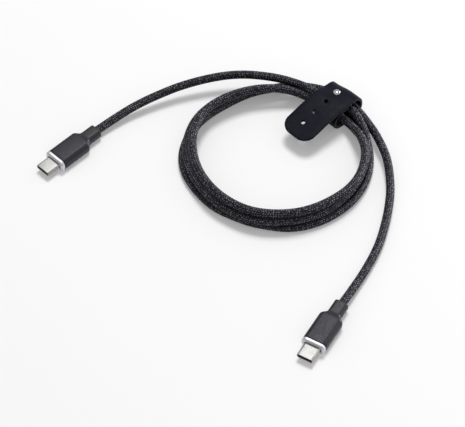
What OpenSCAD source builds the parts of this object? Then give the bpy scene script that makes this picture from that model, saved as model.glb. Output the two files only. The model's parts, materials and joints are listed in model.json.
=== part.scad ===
// Braided charging cable, coiled and held by a studded strap, with a USB-C plug on each end.
// Millimetres. The cable lies on z = 0, and the origin is under the middle of its bounding box.

/* [Cord] */
// Diameter of the braided cord
cord_d = 4.1; // [3.8:0.1:4.2]
// Sides of the tubes that stand for the loose ends of the cord
cord_sides = 10; // [8:1:12]

/* [Coil] */
// Radius of the coil at the inner side of its turns
coil_inner_r = 37.4; // [36.5:0.1:38]
// Radius of the coil at the outer side of its turns
coil_outer_r = 47.9; // [47.5:0.1:48.5]
// Height of the stacked turns
coil_h = 11.8; // [11.4:0.1:12.5]

/* [Plug] */
// Width of the connector shell
shell_w = 8.25; // [8.15:0.01:8.3]
// Height of the connector shell
shell_h = 2.4; // [2.3:0.01:2.45]
// Length of shell in front of the trim ring
shell_reach = 7.4; // [7:0.1:8]
// Width of the trim ring and of the housing
body_w = 12; // [11.6:0.1:12.6]
// Height of the trim ring and of the housing
body_h = 6.2; // [6:0.1:6.8]
// Radius of the long edges of the ring and of the housing
body_r = 2.4; // [1.8:0.1:2.6]
// Length of the trim ring
ring_len = 1.8; // [1.4:0.1:2.2]
// Length of the housing up to its shoulders
housing_len = 15.8; // [15.5:0.1:16.5]
// Length of the housing's sloping shoulders
shoulder_len = 3.6; // [3.2:0.1:4]
// Width of the strain relief collar
collar_w = 7; // [6.6:0.1:7.2]
// Height of the strain relief collar
collar_h = 4.8; // [4.6:0.1:5]
// Length of the collar behind the housing
collar_len = 7.4; // [6:0.1:9]

/* [Strap] */
// Width of the strap, along the turns of the coil
strap_w = 18; // [16:0.5:19]
// Thickness of the strap
strap_t = 1.3; // [1.2:0.1:1.4]
// Radius of the corners at the strap's two ends
tip_r = 6.5; // [4:0.5:8]
// Diameter of the free holes
hole_d = 2; // [1.6:0.1:2.6]
// Diameter of the stud's head
stud_d = 3.6; // [3.4:0.1:4]
// Diameter of the hole that lets the stud's head through
latch_hole_d = 5.2; // [5:0.1:5.6]

/* [Hidden] */
$fn = 48;
gap = 0.05;        // clearance between neighbouring rigid pieces
long = 60;         // longer than any piece that is cut with it
axis_h = body_h / 2;

// Tip of each plug, and the turn that points its cord end along the tail
plug_a_tip = [-83.4, 26.8];
plug_a_turn = 45;
plug_b_tip = [40.7, -83.5];
plug_b_turn = 60;

// Routes of the loose ends, as points on the cord's centre line
tail_a_route = [
    [-65, 45.2, 3.1], [-61.5, 48.7, 3.1], [-58, 52.2, 3.1], [-51, 58.2, 3.5], [-43.5, 63.9, 4.3],
    [-36, 68.6, 5.2], [-28, 72.8, 6], [-20, 76.4, 6.8], [-12, 79.2, 7.5], [-3, 81.6, 8.1],
    [5.5, 83, 8.6], [14.5, 83.2, 9], [23, 82.2, 9.2], [32, 80.2, 9.3], [40.5, 77.1, 9.3]
];
tail_b_route = [
    [70.6, 60.6, 4.8], [73.6, 55, 5.6], [76.8, 48.8, 5.5], [79.6, 42.2, 5.2], [81.8, 35.8, 4.6],
    [83.1, 29, 3.9], [83.6, 22.4, 3.2], [83.6, 15.6, 2.7], [82.9, 8.6, 2.3], [81.8, 1.8, 2.2],
    [80.3, -5.2, 2.2], [78.6, -11.8, 2.2], [76.4, -18.5, 2.2], [73.8, -24.8, 2.2], [70.8, -31, 2.2],
    [67.7, -36.9, 2.3], [64.3, -42.9, 2.6], [61.2, -48.3, 3], [58.7, -52.3, 3.1], [56.2, -56.6, 3.1],
    [53.7, -61, 3.1]
];
tail_steps = 2;    // rings for each stretch between two points of a route

coil_centre = [29.8, 35.5];

// The strap's own frame: x runs outwards from the coil's centre, y runs along its turns
strap_origin = [28.6, 36.6];
strap_turn = 45;
stud_x = 43.7;
first_hole_x = 36.1;
hole_pitch = 7.9;
hole_row_y = 0.8;  // the stud and the holes lie a little to one side
free_holes = 3;
flap_end_x = 11.9;
hinge = [48.2, 11.95];
hinge_gap = 0.4;
wrap_steps = 4;

// Middle of the strap's thickness, as (x, z) in its own frame
wrap_line = [
    [46.4, 10.95], [43.4, 11], [39.5, 10.9], [36, 10.2], [33.7, 8.6], [32.6, 6.2], [33, 3.9],
    [34.9, 1.9], [37.6, 1], [40.5, 0.7], [44, 0.7], [47, 0.8], [49.4, 1.6], [50.9, 3.3],
    [51.4, 5.6], [51.2, 8], [50.5, 9.9], [49.5, 11.2], [48.2, 11.95]
];
flap_line = [
    [48.2, 11.95], [46.2, 12.4], [43.4, 12.5], [39.5, 12.5], [35.5, 12.2], [31, 11.6], [26.5, 10.8],
    [22, 9.9], [17.5, 9], [11.6, 7.8]
];

// Inside the plug, all measured from the tip of the shell
shell_t = 0.3;
shell_end = 11.5;
liner_front = 0.2;
liner_end = 11.4;
mouth_w = 6.8;
mouth_h = 1.2;
mouth_end = 6.4;
contact_pitch = 0.5;
contact_w = 0.25;
contact_t = 0.12;
contact_z = 0.42;
contact_row = 12;
card_x = 11.6;
card_len = 9.4;
card_w = 8;
card_t = 0.8;
can_x = 11.55;
can_len = 10;
can_w = 8.8;
can_h = 3.5;
can_t = 0.25;
mould_x = 8;
mould_end = 25;
mould_w = 10.3;
mould_h = 4.5;
ferrule_x = 22;
ferrule_len = 3;
ferrule_r = 2.1;
ferrule_t = 0.3;
wire_x = 20.9;
wire_end = 26;
wire_d = 0.6;
wire_ring_r = 1.15;
flange_x = 25.3;
flange_len = 1.1;
flange_w = 8.4;
housing_x = shell_reach + ring_len;
shoulder_x = housing_x + housing_len;
housing_end = shoulder_x + shoulder_len;

metal = "gainsboro";
steel = "silver";
black = [0.07, 0.07, 0.08];
charcoal = [0.29, 0.28, 0.31];
braid = [0.24, 0.24, 0.27];
navy = [0.13, 0.12, 0.17];
gold = "gold";

// ---- Shared shapes ----

// Points of a rounded rectangle, centred on the origin
function rounded_points(w, h, r, steps = 6) = [
    for (corner = [0:3], i = [0:steps])
        let (turn = 90 * corner + 90 * i / steps,
             cx = (corner == 0 || corner == 3 ? 1 : -1) * (w / 2 - r),
             cy = (corner < 2 ? 1 : -1) * (h / 2 - r))
        [cx + r * cos(turn), cy + r * sin(turn)]
];

// A rounded bar along +X, with its middle on the axis
module bar(x, length, w, h, r) {
    translate([x, 0, 0]) rotate([90, 0, 90]) linear_extrude(length) polygon(rounded_points(w, h, r));
}

// A plain block along +X, with its middle on the axis
module block(x, length, w, h) {
    translate([x, -w / 2, -h / 2]) cube([length, w, h]);
}

// A round rod or bore along +X
module rod(x, length, r) {
    translate([x, 0, 0]) rotate([0, 90, 0]) cylinder(h = length, r = r);
}

// A round rod from one point to another
module rod_between(p, q, r) {
    d = q - p;
    length = norm(d);
    translate(p) rotate([0, acos(d[2] / length), atan2(d[1], d[0])]) cylinder(h = length, r = r);
}

// Puts a piece drawn along +X from the plug's tip where plug a or plug b lies
module on_plug(which) {
    tip = which == "a" ? plug_a_tip : plug_b_tip;
    translate([tip[0], tip[1], axis_h])
        rotate([0, 0, which == "a" ? plug_a_turn : plug_b_turn]) children();
}

// Puts a piece drawn in the strap's own frame where the strap lies
module on_strap() {
    translate([strap_origin[0], strap_origin[1], 0]) rotate([0, 0, strap_turn]) children();
}

// A point on the smooth curve through a list of points, t stretches from its start
function curve_point(p, t) =
    let (last = len(p) - 1, i = min(floor(t), last - 1), u = t - i,
         a = p[max(i - 1, 0)], b = p[i], c = p[i + 1], d = p[min(i + 2, last)])
    0.5 * (2 * b + (c - a) * u + (2 * a - 5 * b + 4 * c - d) * u * u
           + (3 * b - a - 3 * c + d) * u * u * u);

function curve(p, steps) = [for (i = [0:(len(p) - 1) * steps]) curve_point(p, i / steps)];

function unit(v) = v / norm(v);

function direction(c, i) = unit(c[min(i + 1, len(c) - 1)] - c[max(i - 1, 0)]);

// A tube swept along a route
module tube(route, r, sides) {
    c = curve(route, tail_steps);
    rings = len(c);
    points = [
        for (i = [0:rings - 1])
            let (along = direction(c, i), side = unit(cross([0, 0, 1], along)), up = cross(along, side))
            for (k = [0:sides - 1])
                c[i] + r * (cos(360 * k / sides) * side + sin(360 * k / sides) * up)
    ];
    faces = concat(
        [[for (k = [0:sides - 1]) k]],
        [[for (k = [sides - 1:-1:0]) (rings - 1) * sides + k]],
        [for (i = [0:rings - 2], k = [0:sides - 1])
            let (n = (k + 1) % sides)
            [i * sides + k, (i + 1) * sides + k, (i + 1) * sides + n, i * sides + n]]
    );
    polyhedron(points, faces, convexity = 6);
}

// Outline of a strip of the strap, from the line along the middle of its thickness
function strip_outline(line, steps) =
    let (c = curve(line, steps), last = len(c) - 1,
         side = [for (i = [0:last]) let (d = direction(c, i)) [-d[1], d[0]] * strap_t / 2])
    concat([for (i = [0:last]) c[i] + side[i]], [for (i = [last:-1:0]) c[i] - side[i]]);

module strip(line) {
    translate([0, strap_w / 2, 0]) rotate([90, 0, 0])
        linear_extrude(strap_w) polygon(strip_outline(line, wrap_steps));
}

// ---- Plug ----

module shell(which) {
    color(metal) on_plug(which) difference() {
        bar(0, shell_end, shell_w, shell_h, shell_h / 2 - 0.01);
        bar(-1, shell_end + 2, shell_w - 2 * shell_t, shell_h - 2 * shell_t, shell_h / 2 - shell_t - 0.01);
    }
}

// Plastic core of the mouth, slotted for the contacts and the latch
module mouth_liner(which) {
    w = shell_w - 2 * shell_t - gap;
    h = shell_h - 2 * shell_t - gap;
    color(black) on_plug(which) difference() {
        bar(liner_front, liner_end - liner_front, w, h, h / 2 - 0.01);
        block(-1, mouth_end + 1, mouth_w, mouth_h);
        for (z = [-contact_z, contact_z])
            translate([0, 0, z])
                block(mouth_end - 1, long, contact_row * contact_pitch + 2 * gap, contact_t + gap);
        block(1.2, long, w + 1, 0.26);
        for (z = [-1, 1]) translate([0, 0, z * h / 2]) block(1.8, 4.4, 5.8, 0.24);
    }
}

// One row of contact beams; the second row has no pair in its middle
module contacts(which, upper) {
    color(gold) on_plug(which)
        for (i = [0:contact_row - 1])
            if (upper || (i != 5 && i != 6))
                translate([0, (i - (contact_row - 1) / 2) * contact_pitch, (upper ? 1 : -1) * contact_z])
                    block(1.4, card_x - 1.4, contact_w, contact_t);
}

// Flat fork whose two noses snap over the edges of a socket's tongue
module latch_spring(which) {
    arm_y = mouth_w / 2 + 0.08;
    color(steel) on_plug(which) {
        for (side = [-1, 1]) {
            translate([0, side * arm_y, 0]) block(1.6, 9.4, 0.3, 0.2);
            translate([0, side * (arm_y - 0.25), 0]) block(2, 0.8, 0.5, 0.2);
        }
        block(10, 1, 2 * arm_y, 0.2);
    }
}

// Pair of thin slotted plates that ground the shell to a socket
module ground_springs(which) {
    plate_z = (shell_h - 2 * shell_t - gap) / 2 - 0.055;
    color(steel) on_plug(which)
        for (side = [-1, 1]) translate([0, 0, side * plate_z]) difference() {
            block(1.9, 4.2, 5.6, 0.1);
            for (slot = [-2:2]) translate([0, slot * 1.1, 0]) block(2.6, 2.6, 0.2, 1);
        }
}

module circuit_card(which) {
    color("darkgreen") on_plug(which) block(card_x + gap, card_len, card_w, card_t);
}

// Chip that tells the charger what current the cable carries, with its two capacitors
module marker_chip(which) {
    color(black) on_plug(which) translate([0, 0, card_t / 2]) {
        translate([15.2, -1, 0]) cube([2, 2, 0.6]);
        for (side = [-1, 1]) translate([15.6, side * 2 - 0.25, 0]) cube([1, 0.5, 0.4]);
    }
}

// Half of the tinned can around the card: a shallow tray, open at both ends
module shield_can(which, upper) {
    color(steel) on_plug(which) mirror([0, 0, upper ? 0 : 1]) difference() {
        block(can_x, can_len, can_w, can_h);
        block(can_x - 1, can_len + 2, can_w - 2 * can_t, can_h - 2 * can_t);
        translate([0, 0, gap / 2 - long / 2]) block(can_x - 1, can_len + 2, long, long);
    }
}

// Sleeve that is crimped over the cord's screen
module crimp_ferrule(which) {
    color(steel) on_plug(which) difference() {
        rod(ferrule_x, ferrule_len, ferrule_r);
        rod(ferrule_x - 1, ferrule_len + 2, ferrule_r - ferrule_t);
    }
}

// The cord's conductors, fanned out from the ferrule to pads on both faces of the card
module conductors(which) {
    color("firebrick") on_plug(which)
        for (face = [-1, 1], lane = [-1:1])
            rod_between(
                [wire_x - 0.6, lane * 1.25, face * (card_t / 2 + wire_d / 2 + 0.02)],
                [wire_end, wire_ring_r * sin(lane * 55), face * wire_ring_r * cos(lane * 55)],
                wire_d / 2);
}

// Plastic shot over the can, which fills the housing and closes the ring around the shell
module inner_mould(which) {
    color(black) on_plug(which) difference() {
        bar(mould_x, mould_end - mould_x, mould_w, mould_h, 1.6);
        bar(mould_x - 1, shell_end - mould_x + 1 + gap, shell_w + 2 * gap, shell_h + 2 * gap, shell_h / 2);
        block(shell_end, can_x + can_len + gap - shell_end, can_w + 2 * gap, can_h + 2 * gap);
        rod(can_x + can_len - 0.5, long, ferrule_r + gap);
    }
}

// Bright cap around the shell, with a bevelled front edge
module trim_ring(which) {
    bevel = 0.5;
    color("lightgray") on_plug(which) difference() {
        union() {
            bar(shell_reach + bevel, ring_len - bevel, body_w, body_h, body_r);
            hull() {
                bar(shell_reach + bevel, 0.1, body_w, body_h, body_r);
                bar(shell_reach, 0.1, body_w - bevel, body_h - bevel, body_r - bevel / 2);
            }
        }
        bar(mould_x - gap, long, mould_w + 2 * gap, mould_h + 2 * gap, 1.6 + gap);
        bar(0, long, shell_w + 2 * gap, shell_h + 2 * gap, shell_h / 2);
    }
}

// Outer sleeve, narrowed at its shoulders to the collar
module housing(which) {
    plan = [
        [housing_x, -body_w], [shoulder_x, -body_w], [shoulder_x, -body_w / 2],
        [housing_end, -collar_w / 2 - 0.05], [housing_end, collar_w / 2 + 0.05],
        [shoulder_x, body_w / 2], [shoulder_x, body_w], [housing_x, body_w]
    ];
    side = [
        [housing_x, -body_h], [shoulder_x + 0.4, -body_h], [shoulder_x + 0.4, -body_h / 2],
        [housing_end, -collar_h / 2 - 0.3], [housing_end, collar_h / 2 + 0.3],
        [shoulder_x + 0.4, body_h / 2], [shoulder_x + 0.4, body_h], [housing_x, body_h]
    ];
    color(charcoal) on_plug(which) difference() {
        intersection() {
            bar(housing_x, housing_end - housing_x, body_w, body_h, body_r);
            translate([0, 0, -long / 2]) linear_extrude(long) polygon(plan);
            translate([0, long / 2, 0]) rotate([90, 0, 0]) linear_extrude(long) polygon(side);
        }
        bar(0, mould_end + 0.1, mould_w + 2 * gap, mould_h + 2 * gap, 1.6 + gap);
        bar(0, flange_x + flange_len + gap, flange_w + 2 * gap, mould_h + 2 * gap, 1.4);
        bar(0, long, collar_w + 2 * gap, collar_h + 2 * gap - 0.3, 1.8);
    }
}

// Collar that keeps the cord from kinking, held by a flange inside the housing
module strain_relief(which) {
    color(charcoal) on_plug(which) difference() {
        union() {
            bar(flange_x, flange_len, flange_w, mould_h - 0.1, 1.4);
            bar(flange_x, housing_end - flange_x, collar_w, collar_h - 0.3, 1.8);
            bar(housing_end, collar_len, collar_w, collar_h, 1.8);
        }
        rod(0, long, cord_d / 2 + 0.06);
    }
}

// ---- Cord ----

module cord_tail(route) {
    color(braid) tube(route, cord_d / 2, cord_sides);
}

// Outer shape of the stacked turns, cut back where the strap goes round them
module cord_coil() {
    lean = 3.4;
    section = [
        [coil_inner_r + lean, 0], [coil_outer_r - 1.2, 0], [coil_outer_r, 1.2],
        [coil_outer_r, cord_d], [coil_outer_r - lean, coil_h - 1.4], [coil_outer_r - lean - 1.2, coil_h],
        [coil_inner_r + 1.4, coil_h], [coil_inner_r, coil_h - 1.4], [coil_inner_r, coil_h - cord_d]
    ];
    under = strap_t + 0.25;
    top = 9.2;
    notch_w = strap_w + 0.8;
    color(braid) difference() {
        translate([coil_centre[0], coil_centre[1], 0]) rotate_extrude($fn = 96) polygon(section);
        on_strap() translate([30, -notch_w / 2, -long + under]) cube([30, notch_w, long]);
        on_strap() translate([30, -notch_w / 2, top]) cube([30, notch_w, long]);
    }
}

// ---- Strap ----

// Upright rounded plug that gives a strip's free end its corners
module end_outline(x0, x1) {
    translate([(x0 + x1) / 2, 0, -1]) linear_extrude(30) polygon(rounded_points(x1 - x0, strap_w, tip_r, 10));
}

// The strap from its studded end, round under the turns and up to the fold
module strap_wrap() {
    color(navy) on_strap() difference() {
        strip(wrap_line);
        translate([hinge[0], strap_w, hinge[1]]) rotate([90, 0, 0])
            cylinder(h = 2 * strap_w, r = strap_t / 2 + hinge_gap);
        translate([stud_x, hole_row_y, 10]) cylinder(h = 2.5, r = stud_d / 4);
    }
}

// The free end of the strap, which lifts off the stud
module strap_flap() {
    color(navy) on_strap() difference() {
        union() {
            intersection() {
                strip(flap_line);
                end_outline(flap_end_x, hinge[0] + 2 * tip_r);
            }
            translate([hinge[0], strap_w / 2, hinge[1]]) rotate([90, 0, 0])
                cylinder(h = strap_w, r = strap_t / 2 - 0.01);
        }
        translate([stud_x, hole_row_y, 10]) cylinder(h = 6, r = latch_hole_d / 2);
        for (i = [0:free_holes - 1])
            translate([first_hole_x - i * hole_pitch, hole_row_y, 5]) cylinder(h = 12, r = hole_d / 2);
    }
}

// Stud with a domed head, riveted through the strap's end
module strap_stud() {
    head_r = stud_d / 2;
    neck_r = stud_d / 4 - 0.05;
    color(metal) on_strap() translate([stud_x, hole_row_y, 0]) rotate_extrude() polygon([
        [0, 9.65], [1.4, 9.65], [1.4, 9.9], [neck_r, 9.95], [neck_r, 13.25], [head_r - 0.2, 13.25],
        [head_r, 13.5], [head_r - 0.15, 13.9], [head_r - 0.65, 14.25], [0, 14.4]
    ]);
}

// Washer under the strap's end, against which the stud is riveted
module stud_washer() {
    color(metal) on_strap() translate([stud_x, hole_row_y, 9.95]) difference() {
        cylinder(h = 0.25, r = 2.5);
        translate([0, 0, -1]) cylinder(h = 3, r = stud_d / 4 + 0.02);
    }
}

shell("a");  // shell_a
shell("b");  // shell_b
mouth_liner("a");  // mouth_liner_a
mouth_liner("b");  // mouth_liner_b
contacts("a", true);  // contacts_upper_a
contacts("b", true);  // contacts_upper_b
contacts("a", false);  // contacts_lower_a
contacts("b", false);  // contacts_lower_b
latch_spring("a");  // latch_spring_a
latch_spring("b");  // latch_spring_b
ground_springs("a");  // ground_springs_a
ground_springs("b");  // ground_springs_b
circuit_card("a");  // circuit_card_a
circuit_card("b");  // circuit_card_b
marker_chip("a");  // marker_chip_a
shield_can("a", true);  // shield_can_top_a
shield_can("b", true);  // shield_can_top_b
shield_can("a", false);  // shield_can_bottom_a
shield_can("b", false);  // shield_can_bottom_b
crimp_ferrule("a");  // crimp_ferrule_a
crimp_ferrule("b");  // crimp_ferrule_b
conductors("a");  // conductors_a
conductors("b");  // conductors_b
inner_mould("a");  // inner_mould_a
inner_mould("b");  // inner_mould_b
trim_ring("a");  // trim_ring_a
trim_ring("b");  // trim_ring_b
housing("a");  // housing_a
housing("b");  // housing_b
strain_relief("a");  // strain_relief_a
strain_relief("b");  // strain_relief_b
cord_tail(tail_a_route);  // cord_tail_a
cord_tail(tail_b_route);  // cord_tail_b
cord_coil();
strap_wrap();
strap_flap();
strap_stud();
stud_washer();
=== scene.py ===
"""Looks of a braided charging cable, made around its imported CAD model. Metres, +Z up."""
import json
import math

import bmesh
import bpy
import numpy as np
from mathutils import Matrix, Vector
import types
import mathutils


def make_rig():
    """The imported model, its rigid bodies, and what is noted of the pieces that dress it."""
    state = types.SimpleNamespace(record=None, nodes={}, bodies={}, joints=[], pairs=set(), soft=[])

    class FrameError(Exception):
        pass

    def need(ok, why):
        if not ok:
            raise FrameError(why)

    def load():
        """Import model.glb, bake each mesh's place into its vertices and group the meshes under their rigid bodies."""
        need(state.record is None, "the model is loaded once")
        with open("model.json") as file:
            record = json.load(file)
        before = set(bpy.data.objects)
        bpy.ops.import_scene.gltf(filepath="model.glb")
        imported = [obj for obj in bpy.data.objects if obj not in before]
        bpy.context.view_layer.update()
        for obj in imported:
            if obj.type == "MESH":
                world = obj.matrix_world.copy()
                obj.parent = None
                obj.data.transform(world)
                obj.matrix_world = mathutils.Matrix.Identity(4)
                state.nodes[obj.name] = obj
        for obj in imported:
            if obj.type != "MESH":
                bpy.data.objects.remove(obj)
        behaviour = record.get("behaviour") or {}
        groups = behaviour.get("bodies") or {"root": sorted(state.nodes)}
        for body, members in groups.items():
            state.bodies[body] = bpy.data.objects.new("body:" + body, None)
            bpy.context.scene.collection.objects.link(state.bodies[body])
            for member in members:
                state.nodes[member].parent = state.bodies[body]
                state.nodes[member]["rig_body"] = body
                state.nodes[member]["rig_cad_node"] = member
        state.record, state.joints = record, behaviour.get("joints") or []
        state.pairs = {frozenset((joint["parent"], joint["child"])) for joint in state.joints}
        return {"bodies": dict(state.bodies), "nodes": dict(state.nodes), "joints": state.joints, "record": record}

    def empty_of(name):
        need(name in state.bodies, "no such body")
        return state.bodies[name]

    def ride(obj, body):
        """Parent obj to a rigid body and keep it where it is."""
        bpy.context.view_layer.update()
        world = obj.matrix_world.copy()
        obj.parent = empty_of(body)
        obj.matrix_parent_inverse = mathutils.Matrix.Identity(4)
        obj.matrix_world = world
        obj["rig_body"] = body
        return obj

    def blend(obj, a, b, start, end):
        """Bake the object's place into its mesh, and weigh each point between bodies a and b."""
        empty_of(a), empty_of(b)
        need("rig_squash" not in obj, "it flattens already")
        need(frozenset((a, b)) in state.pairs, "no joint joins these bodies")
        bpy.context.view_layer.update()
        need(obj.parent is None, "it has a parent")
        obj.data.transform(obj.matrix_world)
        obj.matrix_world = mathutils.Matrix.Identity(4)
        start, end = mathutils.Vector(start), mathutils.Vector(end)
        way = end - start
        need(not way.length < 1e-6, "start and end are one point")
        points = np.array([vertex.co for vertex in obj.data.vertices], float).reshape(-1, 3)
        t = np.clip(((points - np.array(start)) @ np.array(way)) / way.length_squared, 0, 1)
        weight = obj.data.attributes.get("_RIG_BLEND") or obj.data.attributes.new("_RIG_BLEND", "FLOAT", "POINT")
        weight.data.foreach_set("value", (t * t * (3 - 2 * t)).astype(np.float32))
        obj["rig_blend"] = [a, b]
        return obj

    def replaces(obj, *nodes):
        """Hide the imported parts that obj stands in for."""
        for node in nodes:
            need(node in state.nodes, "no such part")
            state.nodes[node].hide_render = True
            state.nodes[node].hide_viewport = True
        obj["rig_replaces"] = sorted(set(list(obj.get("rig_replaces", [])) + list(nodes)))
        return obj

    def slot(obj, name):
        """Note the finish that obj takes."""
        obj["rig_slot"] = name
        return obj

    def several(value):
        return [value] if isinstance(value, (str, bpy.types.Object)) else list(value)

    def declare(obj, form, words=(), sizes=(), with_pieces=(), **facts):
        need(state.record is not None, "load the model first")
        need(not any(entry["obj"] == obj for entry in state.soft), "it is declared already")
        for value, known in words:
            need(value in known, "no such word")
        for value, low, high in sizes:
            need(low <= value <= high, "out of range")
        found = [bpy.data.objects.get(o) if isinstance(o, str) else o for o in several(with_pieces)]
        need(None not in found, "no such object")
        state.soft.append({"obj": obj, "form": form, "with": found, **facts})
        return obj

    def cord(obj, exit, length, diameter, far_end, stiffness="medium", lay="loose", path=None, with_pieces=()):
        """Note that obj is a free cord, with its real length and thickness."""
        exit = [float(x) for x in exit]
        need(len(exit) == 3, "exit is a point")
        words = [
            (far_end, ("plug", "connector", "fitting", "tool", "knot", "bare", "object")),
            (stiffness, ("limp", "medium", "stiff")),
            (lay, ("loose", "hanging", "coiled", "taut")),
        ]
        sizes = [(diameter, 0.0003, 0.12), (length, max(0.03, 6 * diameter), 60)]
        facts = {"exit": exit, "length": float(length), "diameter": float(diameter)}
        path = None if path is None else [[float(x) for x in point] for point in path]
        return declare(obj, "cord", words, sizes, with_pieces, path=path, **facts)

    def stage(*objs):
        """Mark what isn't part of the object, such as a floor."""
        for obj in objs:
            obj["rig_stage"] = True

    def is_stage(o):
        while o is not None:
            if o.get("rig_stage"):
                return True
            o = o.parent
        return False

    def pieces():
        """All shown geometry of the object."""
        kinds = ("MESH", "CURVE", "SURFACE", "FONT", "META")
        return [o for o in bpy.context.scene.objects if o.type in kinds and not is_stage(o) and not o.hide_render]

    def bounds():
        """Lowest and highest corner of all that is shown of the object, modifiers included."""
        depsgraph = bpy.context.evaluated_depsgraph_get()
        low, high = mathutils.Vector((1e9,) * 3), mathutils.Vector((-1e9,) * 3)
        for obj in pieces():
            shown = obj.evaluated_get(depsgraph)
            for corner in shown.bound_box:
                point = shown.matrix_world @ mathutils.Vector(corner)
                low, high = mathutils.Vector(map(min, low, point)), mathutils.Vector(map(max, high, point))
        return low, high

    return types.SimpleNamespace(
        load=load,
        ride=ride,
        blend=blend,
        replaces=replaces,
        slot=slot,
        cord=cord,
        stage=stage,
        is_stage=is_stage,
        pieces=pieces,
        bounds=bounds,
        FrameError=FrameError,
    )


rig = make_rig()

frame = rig.load()
cad_low, cad_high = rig.bounds()

MM = 0.001
MICRON = 0.000001

# ---- Camera ----

VIEW_TARGET = Vector((0.008, 0.003, 0))
VIEW_DISTANCE = 1.2
VIEW_ELEVATION = math.radians(51.7)
VIEW_LENS = 195


def add_camera():
    data = bpy.data.cameras.new("camera")
    data.lens = VIEW_LENS
    data.sensor_width = 36
    camera = bpy.data.objects.new("camera", data)
    bpy.context.collection.objects.link(camera)
    back = Vector((0, -math.cos(VIEW_ELEVATION), math.sin(VIEW_ELEVATION)))
    camera.location = VIEW_TARGET + back * VIEW_DISTANCE
    camera.rotation_euler = (-back).to_track_quat("-Z", "Y").to_euler()
    bpy.context.scene.camera = camera


add_camera()

# ---- Lines ----


def spline(points, spacing):
    """Evenly spaced points on the natural cubic spline through some points."""
    p = np.array(points, float)
    knots = np.r_[0, np.cumsum(np.linalg.norm(np.diff(p, axis=0), axis=1))]
    step = np.diff(knots)
    count = len(p)
    system = np.eye(count)
    wanted = np.zeros_like(p)
    for i in range(1, count - 1):
        system[i, i - 1:i + 2] = step[i - 1], 2 * (step[i - 1] + step[i]), step[i]
        wanted[i] = 6 * ((p[i + 1] - p[i]) / step[i] - (p[i] - p[i - 1]) / step[i - 1])
    bend = np.linalg.solve(system, wanted)
    fine = np.linspace(0, knots[-1], count * 60)
    i = np.clip(np.searchsorted(knots, fine, side="right") - 1, 0, count - 2)
    h = step[i][:, None]
    before = (fine - knots[i])[:, None]
    after = h - before
    line = (
        bend[i] * after ** 3 / (6 * h) + bend[i + 1] * before ** 3 / (6 * h)
        + (p[i] / h - bend[i] * h / 6) * after + (p[i + 1] / h - bend[i + 1] * h / 6) * before
    )
    return even(line, spacing)


def even(line, spacing):
    """The same line with points about one spacing apart."""
    length = np.r_[0, np.cumsum(np.linalg.norm(np.diff(line, axis=0), axis=1))]
    places = np.linspace(0, length[-1], round(length[-1] / spacing) + 1)
    return np.stack([np.interp(places, length, axis) for axis in line.T], axis=1)


def eased(keys, places):
    """Values at some places between keys (place, value), without overshoot at a key."""
    x, y = np.array(keys, float).T
    rise = np.diff(y) / np.diff(x)
    turns = rise[:-1] * rise[1:] > 0
    inner = np.where(turns, 2 * rise[:-1] * rise[1:] / np.where(turns, rise[:-1] + rise[1:], 1), 0)
    slope = np.r_[rise[0], inner, rise[-1]]
    i = np.clip(np.searchsorted(x, places, side="right") - 1, 0, len(x) - 2)
    h = x[i + 1] - x[i]
    t = (places - x[i]) / h
    return (
        (2 * t ** 3 - 3 * t ** 2 + 1) * y[i] + (t ** 3 - 2 * t ** 2 + t) * h * slope[i]
        + (3 * t ** 2 - 2 * t ** 3) * y[i + 1] + (t ** 3 - t ** 2) * h * slope[i + 1]
    )


def directions(line):
    along = np.gradient(line, axis=0)
    return along / np.linalg.norm(along, axis=1)[:, None]


# ---- Cord ----

CORD_R = 2.14 * MM
# Points of loose end a, from inside its collar to the strap, and of loose end b, from the strap
# into its collar
TAIL_A = [
    (-0.065, 0.0452, 0.0031), (-0.0615, 0.0487, 0.0031), (-0.058, 0.0522, 0.0031),
    (-0.051, 0.0582, 0.0035), (-0.0435, 0.0639, 0.0043), (-0.036, 0.0686, 0.0052),
    (-0.028, 0.0728, 0.006), (-0.02, 0.0764, 0.0068), (-0.012, 0.0792, 0.0075),
    (-0.003, 0.0816, 0.0081), (0.0055, 0.083, 0.0086), (0.0145, 0.0832, 0.009),
    (0.023, 0.0822, 0.0092), (0.032, 0.0802, 0.0093), (0.0405, 0.0771, 0.0093), (0.047, 0.074, 0.009),
]
TAIL_B = [
    (0.0736, 0.055, 0.0056), (0.0768, 0.0488, 0.0055), (0.0796, 0.0422, 0.0052),
    (0.0818, 0.0358, 0.0046), (0.0831, 0.029, 0.0039), (0.0836, 0.0224, 0.0032),
    (0.0836, 0.0156, 0.0027), (0.0829, 0.0086, 0.0023), (0.0818, 0.0018, 0.0022),
    (0.0803, -0.0052, 0.0022), (0.0786, -0.0118, 0.0022), (0.0764, -0.0185, 0.0022),
    (0.0738, -0.0248, 0.0022), (0.0708, -0.031, 0.0022), (0.0677, -0.0369, 0.0023),
    (0.0643, -0.0429, 0.0026), (0.0612, -0.0483, 0.003), (0.0587, -0.0523, 0.0031),
    (0.0562, -0.0566, 0.0031), (0.0537, -0.061, 0.0031),
]
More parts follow.
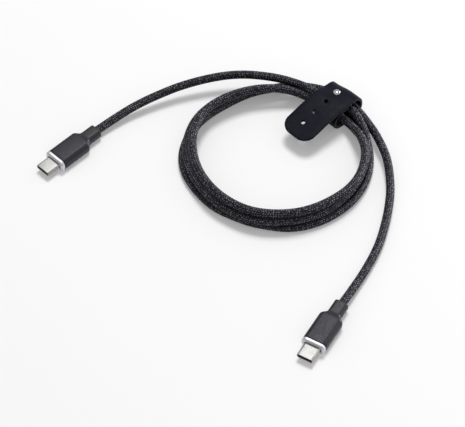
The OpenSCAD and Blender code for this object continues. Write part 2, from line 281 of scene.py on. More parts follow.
# The turns run clockwise from the strap: degrees from the strap, radius and height, in mm
COIL_CENTRE = (0.0298, 0.0355)
COIL_START = math.radians(47)
TOP_TURN = [
    (-12, 41.2, 8.8), (-5, 39.4, 8.4), (2, 38.9, 6.8), (11, 40.3, 4.6), (22, 40.9, 5.6),
    (33, 41.4, 8), (45, 42.2, 9.5), (62, 42.4, 9.8), (76, 42.2, 9.8), (106, 40.6, 9.8),
    (137, 40.5, 9.8), (153, 40.8, 9.8), (190, 40.1, 9.8), (213, 40.4, 9.8), (232, 41.2, 9.8),
    (251, 42.2, 9.8), (262, 42.2, 9.8), (274, 41.1, 9.8), (302, 39.1, 9.6), (317, 38.7, 9),
    (335, 39.4, 6.4), (348, 40, 4.2),
]
MIDDLE_TURN = [
    (356, 41, 4.7), (371, 44.4, 7.9), (383, 44.4, 6.8), (395, 43.9, 5.8), (420, 42, 5.9),
    (442, 41.5, 5.9), (455, 41.6, 5.9), (470, 42.1, 5.9), (482, 41.9, 5.9), (515, 42.5, 5.9),
    (532, 42.3, 5.9), (541, 42.5, 5.9), (566, 42.8, 5.9), (590, 44.3, 5.9), (614, 44.7, 5.9),
    (626, 44.2, 5.9), (640, 42.7, 5.9), (655, 41.9, 5.8), (668, 41.8, 5.6), (695, 43.4, 4.4),
    (708, 44.3, 3.7),
]
BOTTOM_TURN = [
    (720, 45.5, 3.6), (731, 44.8, 3.6), (743, 44.8, 2.6), (755, 44.6, 2.1), (800, 44.2, 2),
    (812, 43.8, 2), (840, 43.4, 2), (850, 43, 2), (870, 41.6, 2), (884, 41.6, 2), (905, 43, 2),
    (916, 43.6, 2), (947, 46, 2), (980, 44, 2), (992, 42.6, 2), (1005, 42.4, 2), (1017, 43.2, 2),
    (1030, 44.2, 2), (1045, 46.2, 2.4), (1068, 48.3, 3.8), (1080, 49.3, 4), (1091, 48.8, 4.8),
]
COIL_STEP = 12
SETTLE_SPACING = 2 * MM
SETTLE_STEPS = 90
SETTLE_PUSH = 0.3
# Points this close along the cord don't press on each other, and this many at each end stay put
SAME_STRETCH = 7
PINNED = 20

# The braid: yarns that run each way round, and the length of cord that one crossing takes
YARNS = 12
PICK = 1.2 * MM
RELIEF = 0.22 * MM

# The strap's own frame: x runs outwards from the coil's centre, y along its turns
STRAP_ORIGIN = Vector((0.0286, 0.0366, 0))
STRAP_PLACE = Matrix.Translation(STRAP_ORIGIN) @ Matrix.Rotation(math.radians(45), 4, "Z")
STRAP_HALF_W = 9 * MM
STRAP_T = 1.3 * MM


def eased_step(x, start, end):
    """From 0 to 1, with no corner at either end."""
    t = np.clip((x - start) / (end - start), 0, 1)
    return t * t * t * (t * (6 * t - 15) + 10)


def fold_sag(x, y, z):
    """How far the far side of the strap's fold hangs down, in mm in the strap's own frame."""
    return 1.9 * eased_step(y, -4, 9) * eased_step(x, 35, 47) * eased_step(z, 2, 10)


def coil_route():
    keys = np.array(TOP_TURN + MIDDLE_TURN + BOTTOM_TURN, float)
    turned = np.arange(keys[0, 0], keys[-1, 0], COIL_STEP)
    radius = eased(keys[:, [0, 1]], turned) * MM
    height = eased(keys[:, [0, 2]], turned) * MM
    angle = COIL_START - np.radians(turned)
    return np.stack([
        COIL_CENTRE[0] + radius * np.cos(angle), COIL_CENTRE[1] + radius * np.sin(angle), height,
    ], axis=1)


def settled(line):
    """Moves turns apart where they press into each other, and keeps them inside the strap."""
    apart = 1.95 * CORD_R
    inner_x, outer_x, floor_z, ceiling_z = 35.4, 48.6, 3.5, 8.2
    into = np.array(STRAP_PLACE.inverted())
    index = np.arange(len(line))
    near = np.abs(index[:, None] - index[None]) <= SAME_STRETCH
    shift = np.zeros_like(line)
    for _ in range(SETTLE_STEPS):
        now = line + shift
        gap = now[:, None] - now[None]
        distance = np.linalg.norm(gap, axis=2) + near
        press = np.clip(apart - distance, 0, None)
        shift += (gap * (press / np.maximum(distance, MICRON))[..., None]).sum(1) * SETTLE_PUSH
        now = line + shift
        own = now @ into[:3, :3].T + into[:3, 3]
        under = (np.abs(own[:, 1]) < STRAP_HALF_W) & (own[:, 0] > 0)
        inside = own.copy()
        inside[:, 0] = np.clip(own[:, 0], inner_x * MM, outer_x * MM)
        ceiling = ceiling_z - fold_sag(*(own / MM).T)
        inside[:, 2] = np.clip(own[:, 2], floor_z * MM, ceiling * MM)
        shift += np.where(under[:, None], (inside - own) @ into[:3, :3], 0)
        smooth = shift.copy()
        smooth[1:-1] = 0.5 * shift[1:-1] + 0.25 * (shift[:-2] + shift[2:])
        shift = smooth
        shift[:PINNED] = 0
        shift[-PINNED:] = 0
        shift[:, 2] = np.maximum(shift[:, 2], CORD_R - line[:, 2])
    return line + shift


def braid_height(a, b):
    """Height from 0 to 1 of a two-over-two braid, where a and b count the yarns of each way."""
    def ridge(across, run):
        crown = np.sin(np.pi * (across % 1))
        float_up = np.where(run < 2, np.sin(np.pi * run / 2), 0)
        return crown * float_up
    return np.maximum(ridge(a, (np.floor(a) + b) % 4), ridge(b, (np.floor(b) + a + 2) % 4))


def braided_tube(line):
    """Points, faces and map corners of a tube whose diamond mesh follows the yarns of the braid."""
    around = 2 * YARNS
    rings = len(line)
    along = directions(line)
    side = np.cross(along[0], (0, 0, 1))
    sides = []
    for t in along:
        side = side - t * (side @ t)
        side = side / np.linalg.norm(side)
        sides.append(side)
    sides = np.array(sides)
    ups = np.cross(along, sides)
    ring, k = np.meshgrid(np.arange(rings), np.arange(around), indexing="ij")
    u = (k + 0.5 * (ring % 2)) / 2
    v = ring / 4
    angle = 2 * np.pi * u / YARNS
    radius = CORD_R - RELIEF * (1 - braid_height(u + v, u - v))
    points = (
        line[:, None] + radius[..., None]
        * (np.cos(angle)[..., None] * sides[:, None] + np.sin(angle)[..., None] * ups[:, None])
    )

    def corner(r, i):
        return r * around + i % around

    faces = []
    maps = []
    for r in range(rings - 2):
        odd = r % 2
        for i in range(around):
            right, left = corner(r + 1, i + odd), corner(r + 1, i + odd - 1)
            faces.append((corner(r, i), right, corner(r + 2, i), left))
            x = (i + 0.5 * odd) / 2
            y = r / 4
            maps.extend([(x, y), (x + 0.25, y + 0.25), (x, y + 0.5), (x - 0.25, y + 0.25)])
    last = rings - 1
    for i in range(around):
        x = i / 2
        faces.append((corner(0, i), corner(0, i + 1), corner(1, i)))
        maps.extend([(x, 0), (x + 0.5, 0), (x + 0.25, 0.25)])
        faces.append((corner(last, i + 1), corner(last, i), corner(last - 1, i)))
        maps.extend([(x + 0.5, last / 4), (x, last / 4), (x + 0.25, (last - 1) / 4)])
    faces.append([corner(0, i) for i in reversed(range(around))])
    faces.append([corner(last, i) for i in range(around)])
    maps.extend([(0, 0)] * around + [(0, last / 4)] * around)
    return points.reshape(-1, 3), faces, maps


def new_piece(name, points, faces, material, sharp=None):
    """A smooth mesh object, with sharp edges where faces meet at more than some degrees."""
    mesh = bpy.data.meshes.new(name)
    mesh.from_pydata([tuple(p) for p in points], [], faces)
    mesh.update()
    mesh.shade_smooth()
    if sharp is not None:
        mesh.set_sharp_from_angle(angle=math.radians(sharp))
    mesh.materials.append(material)
    piece = bpy.data.objects.new(name, mesh)
    bpy.context.collection.objects.link(piece)
    return piece


def add_cord(material):
    rough = settled(spline(np.concatenate([TAIL_A, coil_route(), TAIL_B]), SETTLE_SPACING))
    line = spline(rough[::2], PICK / 4)
    if len(line) % 2 == 0:
        line = line[:-1]
    points, faces, maps = braided_tube(line)
    cord = new_piece("cord", points, faces, material)
    layer = cord.data.uv_layers.new(name="braid")
    layer.data.foreach_set("uv", np.array(maps, np.float32).ravel())
    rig.ride(cord, "cable")
    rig.replaces(cord, "cord_tail_a", "cord_coil", "cord_tail_b")
    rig.slot(cord, "cord_braid")
    return cord, line


# ---- Materials ----


class Paint:
    """A material being made: its nodes, its links and its main shader."""

    def __init__(self, name, color, roughness, metallic=0.0, **sockets):
        self.material = bpy.data.materials.new(name)
        self.material.use_nodes = True
        self.nodes = self.material.node_tree.nodes
        self.links = self.material.node_tree.links
        self.shader = self.nodes["Principled BSDF"]
        self.shader.inputs["Base Color"].default_value = (*color, 1)
        self.shader.inputs["Roughness"].default_value = roughness
        self.shader.inputs["Metallic"].default_value = metallic
        for socket, value in sockets.items():
            self.shader.inputs[socket.replace("_", " ")].default_value = value

    def node(self, kind, **inputs):
        made = self.nodes.new("ShaderNode" + kind)
        for socket, value in inputs.items():
            self.feed(made.inputs[socket], value)
        return made

    def feed(self, socket, value):
        """Links the output of a node to a socket, or sets the socket to a plain value."""
        if isinstance(value, bpy.types.NodeSocket):
            self.links.new(value, socket)
        else:
            socket.default_value = value

    def math(self, operation, first, second=0.0):
        made = self.nodes.new("ShaderNodeMath")
        made.operation = operation
        self.feed(made.inputs[0], first)
        self.feed(made.inputs[1], second)
        return made.outputs[0]

    def noise(self, scale, detail):
        place = self.node("TexCoord").outputs["Object"]
        return self.node("TexNoise", Vector=place, Scale=scale, Detail=detail).outputs["Fac"]

    def patches(self, scale, low, high, detail=3):
        """A value that wanders between low and high over the surface."""
        return self.ramp(self.noise(scale, detail), low, high, 0.3, 0.7)

    def ramp(self, value, low, high, start=0.0, end=1.0):
        """From low to high as the value goes from start to end."""
        made = self.node("MapRange", Value=value)
        for socket, number in zip(made.inputs[1:5], (start, end, low, high)):
            socket.default_value = number
        return made.outputs[0]

    def openness(self, reach):
        """1 where nothing is near the surface, and less in hollows and where pieces lie close; it sets how much
        painted shade goes into a colour.
        """
        made = self.node("AmbientOcclusion", Distance=reach)
        made.samples = 16
        return made.outputs["AO"]

    def blend(self, factor, first, second):
        """A colour that goes from the first to the second as the factor goes from 0 to 1."""
        made = self.nodes.new("ShaderNodeMix")
        made.data_type = "RGBA"
        self.feed(made.inputs[0], factor)
        for socket, color in zip(made.inputs[6:8], (first, second)):
            self.feed(socket, color if isinstance(color, bpy.types.NodeSocket) else (*color, 1))
        return made.outputs[2]

    def bump(self, height, strength, distance):
        made = self.node("Bump", Height=height, Strength=strength, Distance=distance)
        self.links.new(made.outputs[0], self.shader.inputs["Normal"])

    def set(self, socket, value):
        self.feed(self.shader.inputs[socket], value)


def braid_paint():
    """Black yarns with a pale thread that comes up as a fleck where yarns cross, with painted shade in the hollows
    between the turns and where the cord lies close to other things.
    """
    dark = (0.0115, 0.0115, 0.016)
    pale = (0.31, 0.315, 0.37)
    # Near-black colour of the painted shade
    painted_shade = (0.002, 0.002, 0.003)
    paint = Paint("cord_braid", dark, 0.55, Specular_IOR_Level=0.15)
    place = paint.node("UVMap")
    place.uv_map = "braid"
    split = paint.node("SeparateXYZ", Vector=place.outputs[0])
    a = paint.math("ADD", split.outputs[0], split.outputs[1])
    b = paint.math("SUBTRACT", split.outputs[0], split.outputs[1])
    a_yarn = paint.math("FLOOR", a)
    b_yarn = paint.math("FLOOR", b)
    cell = paint.math("FLOORED_MODULO", paint.math("ADD", a_yarn, b_yarn), 4.0)
    b_on_top = paint.math("GREATER_THAN", cell, 1.5)

    def pick(first, second):
        """The first value, or the second one where the yarn of the other way is on top."""
        change = paint.math("SUBTRACT", second, first)
        return paint.math("ADD", first, paint.math("MULTIPLY", change, b_on_top))

    across = pick(paint.math("FRACT", a), paint.math("FRACT", b))
    travel = pick(
        paint.math("ADD", a_yarn, b),
        paint.math("ADD", paint.math("ADD", b_yarn, a), 2.0),
    )
    run = paint.math("FLOORED_MODULO", travel, 4.0)
    count = paint.math("FLOOR", paint.math("DIVIDE", travel, 4.0))
    yarn = pick(a_yarn, paint.math("ADD", b_yarn, 0.5))
    lift = paint.math("SINE", paint.math("MULTIPLY", run, math.pi / 2))
    crown = paint.math("SINE", paint.math("MULTIPLY", across, math.pi))
    threads = paint.math("ABSOLUTE", paint.math("SINE", paint.math("MULTIPLY", across, 4 * math.pi)))
    chance = paint.node("TexWhiteNoise", Vector=paint.node("CombineXYZ", X=yarn, Y=count).outputs[0])
    shifts = paint.node("SeparateXYZ", Vector=chance.outputs["Color"])
    middle = paint.ramp(shifts.outputs[0], 0.5, 1.5)
    away = paint.math("ABSOLUTE", paint.math("SUBTRACT", run, middle))
    centre = paint.ramp(shifts.outputs[1], 0.3, 0.7)
    side = paint.math("ABSOLUTE", paint.math("SUBTRACT", across, centre))
    spot = paint.math("MULTIPLY", paint.ramp(away, 1, 0, 0.2, 0.5), paint.ramp(side, 1, 0, 0.15, 0.35))
    share = paint.math("MULTIPLY", spot, paint.ramp(chance.outputs["Value"], 0.1, 1))
    # Painted shade: an occlusion node turns the colour near black in hollows, between the turns and where other
    # surfaces lie close.
    openness = paint.ramp(paint.openness(4 * MM), 0.05, 1, 0.3, 0.9)
    paint.set("Base Color", paint.blend(openness, painted_shade, paint.blend(share, dark, pale)))
    paint.set("Roughness", paint.ramp(threads, 0.7, 0.5))
    fine = paint.math("ADD", paint.math("MULTIPLY", threads, 0.3), paint.math("MULTIPLY", crown, 0.7))
    paint.bump(paint.math("MULTIPLY", fine, paint.ramp(lift, 0.4, 1)), 0.8, 0.1 * MM)
    return paint.material


def moulded_paint(name, color, roughness):
    """Moulded plastic: fine etched grain, and slightly uneven shine and colour."""
    paint = Paint(name, color, roughness, Specular_IOR_Level=0.24)
    lighter = tuple(c * 1.25 for c in color)
    paint.set("Base Color", paint.blend(paint.patches(350, 0, 1, 4), color, lighter))
    paint.set("Roughness", paint.patches(900, roughness - 0.05, roughness + 0.06))
    paint.bump(paint.noise(5000, 2), 0.3, 0.02 * MM)
    return paint.material


def metal_paint(name, color, roughness):
    """Satin metal: a very fine grain, uneven shine and soft smears."""
    paint = Paint(name, color, roughness, 1.0)
    darker = tuple(c * 0.9 for c in color)
    smears = paint.ramp(paint.noise(300, 3), 0, 1, 0.35, 0.65)
    paint.set("Base Color", paint.blend(smears, color, darker))
    paint.set("Roughness", paint.patches(2600, roughness - 0.06, roughness + 0.08))
    paint.bump(paint.noise(2600, 3), 0.1, 0.01 * MM)
    return paint.material


def strap_paint():
    """Smooth, matt soft strap with a very fine skin, and painted shade where it lies close to the cord."""
    navy = (0.0053, 0.0052, 0.0125)
    lighter = (0.0067, 0.0065, 0.015)
    # Near-black colour of the painted shade
    painted_shade = (0.001, 0.001, 0.0015)
    paint = Paint(
        "strap_navy", navy, 0.45, Specular_IOR_Level=0.06, Sheen_Weight=0.22, Sheen_Roughness=0.3,
    )
    tone = paint.blend(paint.patches(160, 0, 1, 4), navy, lighter)
    # Painted shade: an occlusion node turns the colour near black in the strap's hollows and where it lies close to
    # the cord.
    openness = paint.ramp(paint.openness(8 * MM), 0, 1, 0.3, 0.9)
    paint.set("Base Color", paint.blend(openness, painted_shade, tone))
    paint.set("Roughness", paint.patches(500, 0.4, 0.5))
    paint.bump(paint.noise(3000, 3), 0.25, 0.03 * MM)
    return paint.material


cord, cord_line = add_cord(braid_paint())

# ---- Plugs ----

SECTION_STEPS = 8
LIP_STEPS = 4
# Width, height and edge radius of the ring and the housing, and the moulding that fills them
BODY_W, BODY_H, BODY_R = 12.0, 6.2, 2.4
MOULD_W, MOULD_H = 10.4, 4.6
mounts = {m["name"]: m for m in frame["record"]["mounts"]}


def plug_place(which):
    """Where a plug lies: x runs from its tip along the cord, z is up."""
    mount = mounts["plug_" + which]
    x = -Vector(mount["axis"])
    z = Vector((0, 0, 1))
    turn = Matrix((x, z.cross(x), z)).transposed().to_4x4()
    return Matrix.Translation(Vector(mount["pos_m"])) @ turn


def section(x, w, h, r):
    """Points of a rounded rectangle across the plug, in mm from its tip."""
    points = []
    for quarter in range(4):
        cy = (1 if quarter in (0, 3) else -1) * (w / 2 - r)
        cz = (1 if quarter < 2 else -1) * (h / 2 - r)
        for i in range(SECTION_STEPS + 1):
            turn = math.radians(90 * quarter + 90 * i / SECTION_STEPS)
            points.append(Vector((x, cy + r * math.cos(turn), cz + r * math.sin(turn))) * MM)
    return points


def oval(x, w, h, flat=0.01):
    """A section with half-round ends, but for a very short flat."""
    return section(x, w, h, h / 2 - flat)


def quarter_turn(steps):
    """Sine and cosine at even steps from 0 to 90 degrees."""
    return [(math.sin(t), math.cos(t)) for t in np.linspace(0, math.pi / 2, steps + 1)]


def sleeve(name, sections, place, material, sharp):
    """A skin over sections that goes back to its first one, so that it has an inside as well."""
    points = [place @ p for s in sections for p in s]
    count, n = len(sections), len(sections[0])
    faces = []
    for i in range(count):
        here, there = i * n, (i + 1) % count * n
        for k in range(n):
            after = (k + 1) % n
            faces.append((here + k, there + k, there + after, here + after))
    piece = new_piece(name, points, faces, material, sharp)
    bm = bmesh.new()
    bm.from_mesh(piece.data)
    bmesh.ops.recalc_face_normals(bm, faces=bm.faces)
    bm.to_mesh(piece.data)
    bm.free()
    return piece


def ride_cable(piece, slot, *nodes):
    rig.ride(piece, "cable")
    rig.replaces(piece, *nodes)
    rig.slot(piece, slot)
    return piece


def add_shell(which, place, material):
    """Drawn steel tube with rolled lips at its mouth."""
    w, h, wall, end = 8.25, 2.4, 0.3, 11.5
    lip, taper = 0.14, 3.5
    outer = []
    for rise, rest in quarter_turn(LIP_STEPS):
        inset = lip * (1 - rise)
        outer.append(oval(lip * (1 - rest), w - 2 * inset, h - 2 * inset))
    outer += [oval(taper, w, h), oval(end, w, h)]
    inner_w, inner_h = w - 2 * wall, h - 2 * wall
    inner = [oval(end, inner_w, inner_h)]
    for rise, rest in quarter_turn(LIP_STEPS):
        flare = lip * (1 - rest)
        inner.append(oval(lip * (1 - rise), inner_w + 2 * flare, inner_h + 2 * flare))
    piece = sleeve("plug_shell_" + which, outer + inner, place, material, 50)
    return ride_cable(piece, "plug_nickel", "shell_" + which)


def add_ring(which, place, material):
    """Bright cap with a bevelled front edge, open in front for the shell."""
    w, h, r = BODY_W, BODY_H, BODY_R
    front, wall, back = 7.4, 7.93, 9.2
    bevel, slope, edge, ease = 0.7, 0.6, 0.08, 0.04
    slot_w, slot_h, slot_r = 8.85, 3, 1.45
    bore_r = 1.65
    sections = [
        section(front + edge, slot_w, slot_h, slot_r),
        section(front, slot_w + 2 * edge, slot_h + 2 * edge, slot_r + edge),
        section(front, w - 2 * bevel - edge, h - 2 * bevel - edge, r - bevel - edge / 2),
        section(front + ease, w - 2 * bevel, h - 2 * bevel, r - bevel),
        section(front + slope - ease, w - 0.05, h - 0.05, r - 0.02),
        section(front + slope + 0.06, w, h, r),
        section(back - edge, w, h, r),
        section(back, w - 2 * edge, h - 2 * edge, r - edge),
        section(back, MOULD_W, MOULD_H, bore_r),
        section(wall, MOULD_W, MOULD_H, bore_r),
        section(wall, slot_w, slot_h, slot_r),
    ]
    piece = sleeve("trim_ring_plug_" + which, sections, place, material, 40)
    return ride_cable(piece, "ring_aluminium", "trim_ring_" + which)


def add_housing(which, place, material):
    """Sleeve with softly sloping shoulders that run down to the collar."""
    w, h, r = BODY_W, BODY_H, BODY_R
    start, shoulder, end = 9.22, 24.4, 28.6
    end_w, end_h, end_r = 7.15, 4.95, 1.85
    outer = [
        section(start, w - 0.3, h - 0.3, r - 0.15),
        section(start + 0.04, w - 0.12, h - 0.12, r - 0.06),
        section(start + 0.14, w, h, r),
    ]
    outer += [section(x, w, h, r) for x in np.linspace(start + 1.5, shoulder, 8)]
    for x in np.linspace(shoulder, end, 22)[1:]:
        plan = eased_step(x, shoulder, end)
        side = eased_step(x, shoulder + 0.6, end)
        outer.append(section(
            x, w + (end_w - w) * plan, h + (end_h - h) * side, r + (end_r - r) * plan,
        ))
    bore = (7.05, 4.85, 1.8)
    inner = [
        section(end, *bore), section(26.6, *bore), section(26.5, *bore),
        section(25.1, 8.5, MOULD_H, 1.45), section(start, MOULD_W, MOULD_H, 1.6),
    ]
    piece = sleeve("housing_plug_" + which, outer + inner, place, material, 50)
    return ride_cable(piece, "housing_charcoal", "housing_" + which)


def add_collar(which, place, material):
    """Soft collar with a rounded back edge, open for the cord."""
    w, h, r = 7.0, 4.8, 1.8
    start, end, edge = 26.4, 35.5, 0.35
    outer = [section(start, w - 0.6, h - 0.6, r - 0.3)]
    outer += [section(x, w, h, r) for x in (28.2, 30, 32.5, end - 2 * edge)]
    for rise, rest in quarter_turn(LIP_STEPS):
        inset = edge * (1 - rest)
        outer.append(section(end - edge + edge * rise, w - 2 * inset, h - 2 * inset, r - inset))
    bore, flare, flat = 2 * CORD_R / MM + 0.12, 0.3, 0.001
    inner = [
        oval(end, bore + flare, bore + flare, flat),
        oval(end - 0.25, bore, bore, flat),
        oval(start, bore, bore, flat),
    ]
    piece = sleeve("strain_relief_plug_" + which, outer + inner, place, material, 50)
    return ride_cable(piece, "relief_charcoal", "strain_relief_" + which)


nickel = metal_paint("plug_nickel", (0.39, 0.385, 0.37), 0.5)
aluminium = metal_paint("ring_aluminium", (0.72, 0.72, 0.77), 0.58)
housing_plastic = moulded_paint("housing_charcoal", (0.0175, 0.0168, 0.0245), 0.42)
collar_rubber = moulded_paint("relief_charcoal", (0.02, 0.02, 0.024), 0.4)

plug_pieces = {}
for which in "ab":
    place = plug_place(which)
    plug_pieces[which] = [
        add_shell(which, place, nickel), add_ring(which, place, aluminium),
        add_housing(which, place, housing_plastic), add_collar(which, place, collar_rubber),
    ]

# ---- Strap ----

# Middle lines of the strap's two strips as (x, z), and all its sizes, in mm in its own frame
WRAP_LINE = [
    (46.4, 10.95), (43.4, 11), (39.5, 10.9), (36, 10.2), (33.7, 8.6), (32.6, 6.2), (33, 3.9),
    (34.9, 1.9), (37.6, 1), (40.5, 0.7), (44, 0.7),
]
FLAP_LINE = [
    (44, 0.7), (47, 0.8), (49.4, 1.6), (50.9, 3.3), (51.4, 5.6), (51.2, 8), (50.5, 9.9),
    (49.5, 11.2), (48.2, 11.95), (46.2, 12.4), (43.4, 12.5), (39.5, 12.5), (35.5, 12.2), (31, 11.6),
    (26.5, 10.8), (22, 9.9), (17.5, 9), (11.9, 7.9),
]
STUD_X = 43.7
FIRST_HOLE_X = 36.1
HOLE_PITCH = 7.9
FREE_HOLES = 3
HOLE_R = 1.0
NECK_HOLE_R = 0.88
HOLE_ROW_Y = 0.8
STRAP_CORNER = 6.5
BEND_SPACING = 0.25
CUT_SPACING = 0.7
# The holes are in the stretch of each strip that lies above this height
HOLES_ABOVE = 5
CORNER_STEPS = 14


def strip_plan(length, round_start, round_end):
    """Outline of a strip laid flat, with large round corners at the ends that are free."""
    half = STRAP_HALF_W / MM
    corners = [
        (length, -half, round_end), (length, half, round_end),
        (0, half, round_start), (0, -half, round_start),
    ]
    outline = []
    for quarter, (x, y, rounded) in enumerate(corners):
        if not rounded:
            outline.append((x, y))
            continue
        cx = x - math.copysign(STRAP_CORNER, x - length / 2)
        cy = y - math.copysign(STRAP_CORNER, y)
        for i in range(CORNER_STEPS + 1):
            turn = math.radians(-90 + 90 * quarter + 90 * i / CORNER_STEPS)
            outline.append((cx + STRAP_CORNER * math.cos(turn), cy + STRAP_CORNER * math.sin(turn)))
    return outline


def hidden_object(name, bm):
    """An object from a bmesh, needed only while another is made."""
    mesh = bpy.data.meshes.new(name)
    bm.to_mesh(mesh)
    bm.free()
    made = bpy.data.objects.new(name, mesh)
    bpy.context.collection.objects.link(made)
    return made


def flat_strip(length, hole_places, round_start, round_end):
    """A flat plate in mm with its holes cut."""
    thick = STRAP_T / MM
    bm = bmesh.new()
    verts = [bm.verts.new((x, y, -thick / 2)) for x, y in strip_plan(length, round_start, round_end)]
    lower = bm.faces.new(verts)
    grown = bmesh.ops.extrude_face_region(bm, geom=[lower])["geom"]
    upper = [v for v in grown if isinstance(v, bmesh.types.BMVert)]
    bmesh.ops.translate(bm, vec=(0, 0, thick), verts=upper)
    bmesh.ops.recalc_face_normals(bm, faces=bm.faces)
    plate = hidden_object("flat_strip", bm)
    cutters = []
    for x, radius in hole_places:
        bm = bmesh.new()
        bmesh.ops.create_cone(
            bm, cap_ends=True, segments=28, radius1=radius, radius2=radius, depth=8,
            matrix=Matrix.Translation((x, HOLE_ROW_Y, 0)),
        )
        cutters.append(hidden_object("cutter", bm))
        cut = plate.modifiers.new("cut", "BOOLEAN")
        cut.object = cutters[-1]
        cut.operation = "DIFFERENCE"
        cut.solver = "EXACT"
    graph = bpy.context.evaluated_depsgraph_get()
    done = bpy.data.meshes.new_from_object(plate.evaluated_get(graph))
    for extra in [plate, *cutters]:
        bpy.data.objects.remove(extra)
    return done


def ease_rims(bm):
    """Rounds the long edges of a flat strip and of its holes."""
    rims = []
    for edge in bm.edges:
        level = abs(edge.verts[0].co.z - edge.verts[1].co.z) < 0.01
        if level and len(edge.link_faces) == 2 and edge.calc_face_angle() > math.radians(60):
            rims.append(edge)
    bmesh.ops.bevel(bm, geom=rims, offset=0.26, segments=3, profile=0.5, affect="EDGES")


def slice_strip(bm, length):
    """Cuts a flat strip across and along, so that it bends smoothly."""
    across = [((i * CUT_SPACING, 0, 0), (1, 0, 0)) for i in range(1, int(length / CUT_SPACING))]
    along = [((0, y, 0), (0, 1, 0)) for y in (-6, -3, 0, 3, 6)]
    for place, normal in across + along:
        bmesh.ops.bisect_plane(
            bm, geom=bm.verts[:] + bm.edges[:] + bm.faces[:], dist=0.0001,
            plane_co=place, plane_no=normal,
        )
    bmesh.ops.triangulate(bm, faces=[f for f in bm.faces if len(f.verts) > 4])


def bent_strip(name, line, hole_places, round_start, round_end, material):
    """The flat strip, bent along a line (x, z) in the strap's own frame. A hole is (x, radius)."""
    path = spline(line, BEND_SPACING)
    length = np.linalg.norm(np.diff(path, axis=0), axis=1).sum()
    steps = np.linspace(0, length, len(path))
    along = directions(path)

    def place_of(x):
        off = np.where(path[:, 1] > HOLES_ABOVE, np.abs(path[:, 0] - x), np.inf)
        return steps[np.argmin(off)]

    holes = [(place_of(x), radius) for x, radius in hole_places]
    mesh = flat_strip(length, holes, round_start, round_end)
    bm = bmesh.new()
    bm.from_mesh(mesh)
    ease_rims(bm)
    slice_strip(bm, length)
    for v in bm.verts:
        x, z = [np.interp(v.co.x, steps, axis) for axis in path.T]
        way_x, way_z = [np.interp(v.co.x, steps, axis) for axis in along.T]
        size = math.hypot(way_x, way_z)
        point = Vector((x - way_z / size * v.co.z, v.co.y, z + way_x / size * v.co.z))
        point.z -= fold_sag(*point)
        v.co = STRAP_PLACE @ (point * MM)
    bmesh.ops.recalc_face_normals(bm, faces=bm.faces)
    bm.to_mesh(mesh)
    bm.free()
    mesh.name = name
    mesh.shade_smooth()
    mesh.set_sharp_from_angle(angle=math.radians(50))
    mesh.materials.clear()
    mesh.materials.append(material)
    piece = bpy.data.objects.new(name, mesh)
    bpy.context.collection.objects.link(piece)
    return piece


def lathe(name, profile, centre, material, steps=48):
    """A turned piece from its profile of (radius, height) in mm."""
    points = []
    for r, z in profile:
        for i in range(steps):
            turn = 2 * math.pi * i / steps
            points.append(centre + Vector((r * math.cos(turn), r * math.sin(turn), z)) * MM)
    faces = []
    top = (len(profile) - 1) * steps
    for here in range(0, top, steps):
        there = here + steps
        for i in range(steps):
            after = (i + 1) % steps
            faces.append((here + i, here + after, there + after, there + i))
    faces.append(list(reversed(range(steps))))
    faces.append([top + i for i in range(steps)])
    return new_piece(name, points, faces, material, 50)


def add_stud(material):
    """Stud with a low domed head, a neck and a riveted foot."""
    head_r, head_z, dome = 1.75, 13.45, 0.95
    foot = [(1.3, 9.65), (1.4, 9.75), (1.4, 9.88), (0.9, 9.95)]
    neck = [(0.85, 10.3), (0.85, 13.1), (0.95, 13.2)]
    rim = [(head_r - 0.2, 13.22), (head_r - 0.04, 13.32)]
    top = [(head_r * rest, head_z + dome * rise) for rise, rest in quarter_turn(12)[:-1]]
    sink = fold_sag(STUD_X, HOLE_ROW_Y, head_z)
    centre = STRAP_PLACE @ (Vector((STUD_X, HOLE_ROW_Y, -sink)) * MM)
    stud = lathe("strap_stud_head", foot + neck + rim + top, centre, material)
    return ride_cable(stud, "stud_chrome", "strap_stud")


strap_soft = strap_paint()
strap_back = bent_strip("strap_inner", WRAP_LINE, [(STUD_X, NECK_HOLE_R)], True, False, strap_soft)
ride_cable(strap_back, "strap_navy", "strap_wrap")
flap_holes = [(STUD_X, HOLE_R)]
flap_holes += [(FIRST_HOLE_X - i * HOLE_PITCH, HOLE_R) for i in range(FREE_HOLES)]
strap_front = bent_strip("strap_outer", FLAP_LINE, flap_holes, False, True, strap_soft)
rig.replaces(strap_front, "strap_flap")
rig.slot(strap_front, "strap_navy")
blend_from = STRAP_PLACE @ (Vector((51.2, 0, 9.4)) * MM)
blend_to = STRAP_PLACE @ (Vector((46.2, 0, 13.8)) * MM)
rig.blend(strap_front, "cable", "strap_end", start=blend_from, end=blend_to)

chrome = metal_paint("stud_chrome", (0.85, 0.85, 0.86), 0.1)
add_stud(chrome)

# ---- CAD pieces that stay ----

# Each gets a finish here, but for the ground springs and the crimp ferrules, which keep their
# plain steel.


def repaint(prefix, material):
    """Gives a finish to the CAD pieces whose names start with the prefix."""
    for name, node in frame["nodes"].items():
        if name.startswith(prefix):
            node.data.materials.clear()
            node.data.materials.append(material)


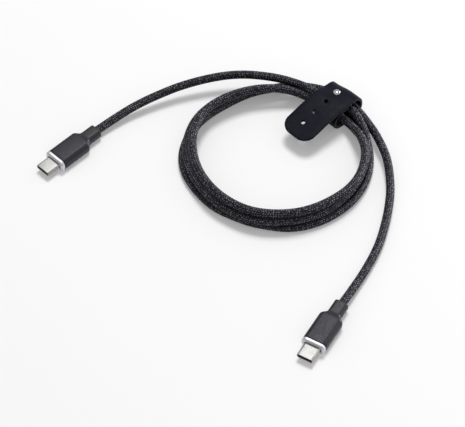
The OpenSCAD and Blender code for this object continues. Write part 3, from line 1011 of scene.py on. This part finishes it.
repaint("mouth_liner", moulded_paint("mouth_plastic", (0.02, 0.02, 0.022), 0.45))
repaint("contacts", metal_paint("contact_gold", (0.83, 0.62, 0.25), 0.25))
repaint("latch_spring", metal_paint("spring_steel", (0.6, 0.6, 0.6), 0.3))
repaint("circuit_card", moulded_paint("card_green", (0.015, 0.12, 0.05), 0.35))
repaint("marker_chip", moulded_paint("chip_black", (0.015, 0.015, 0.015), 0.5))
repaint("shield_can", metal_paint("tinned_steel", (0.62, 0.62, 0.62), 0.35))
repaint("conductors", moulded_paint("conductor_red", (0.4, 0.03, 0.03), 0.4))
repaint("inner_mould", moulded_paint("mould_black", (0.012, 0.012, 0.013), 0.55))
repaint("stud_washer", metal_paint("washer_steel", (0.7, 0.7, 0.7), 0.25))

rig.cord(
    cord, exit=tuple(plug_place("a") @ Vector((35.5 * MM, 0, 0))), length=1.09, diameter=2 * CORD_R,
    far_end="plug", stiffness="medium", lay="coiled", path=cord_line[::6].tolist(),
    with_pieces=plug_pieces["b"] + [frame["nodes"]["mouth_liner_b"], frame["nodes"]["inner_mould_b"]],
)

# ---- Floor and light ----


def add_floor():
    half = 3
    corners = [(-half, -half, 0), (half, -half, 0), (half, half, 0), (-half, half, 0)]
    mesh = bpy.data.meshes.new("floor")
    mesh.from_pydata(corners, [], [(0, 1, 2, 3)])
    mesh.materials.append(Paint("floor_white", (0.9, 0.9, 0.9), 0.6).material)
    floor = bpy.data.objects.new("floor", mesh)
    bpy.context.collection.objects.link(floor)
    floor.location.z = -0.02 * MM
    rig.stage(floor)


def add_light(name, place, size, power, shadow=True):
    """A round softbox that points at the origin."""
    data = bpy.data.lights.new(name, "AREA")
    data.shape = "DISK"
    data.size = size
    data.energy = power
    data.use_shadow = shadow
    light = bpy.data.objects.new(name, data)
    bpy.context.collection.objects.link(light)
    light.location = place
    light.rotation_euler = (-Vector(place)).to_track_quat("-Z", "Y").to_euler()


def add_world(strength):
    world = bpy.data.worlds.new("studio")
    bpy.context.scene.world = world
    world.use_nodes = True
    background = world.node_tree.nodes["Background"].inputs
    background["Color"].default_value = (1, 1, 1, 1)
    background["Strength"].default_value = strength


add_floor()
add_world(0.39)
add_light("softbox_behind", (0.24, 1.76, 3.65), 1.5, 84)
add_light("softbox_right", (2.0, 1.15, 0.55), 0.5, 52, shadow=False)
bpy.context.scene.view_settings.view_transform = "Standard"

low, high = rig.bounds()
with open("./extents.json", "w") as size_file:
    json.dump({"cad": [list(cad_low), list(cad_high)], "visual": [list(low), list(high)]}, size_file)
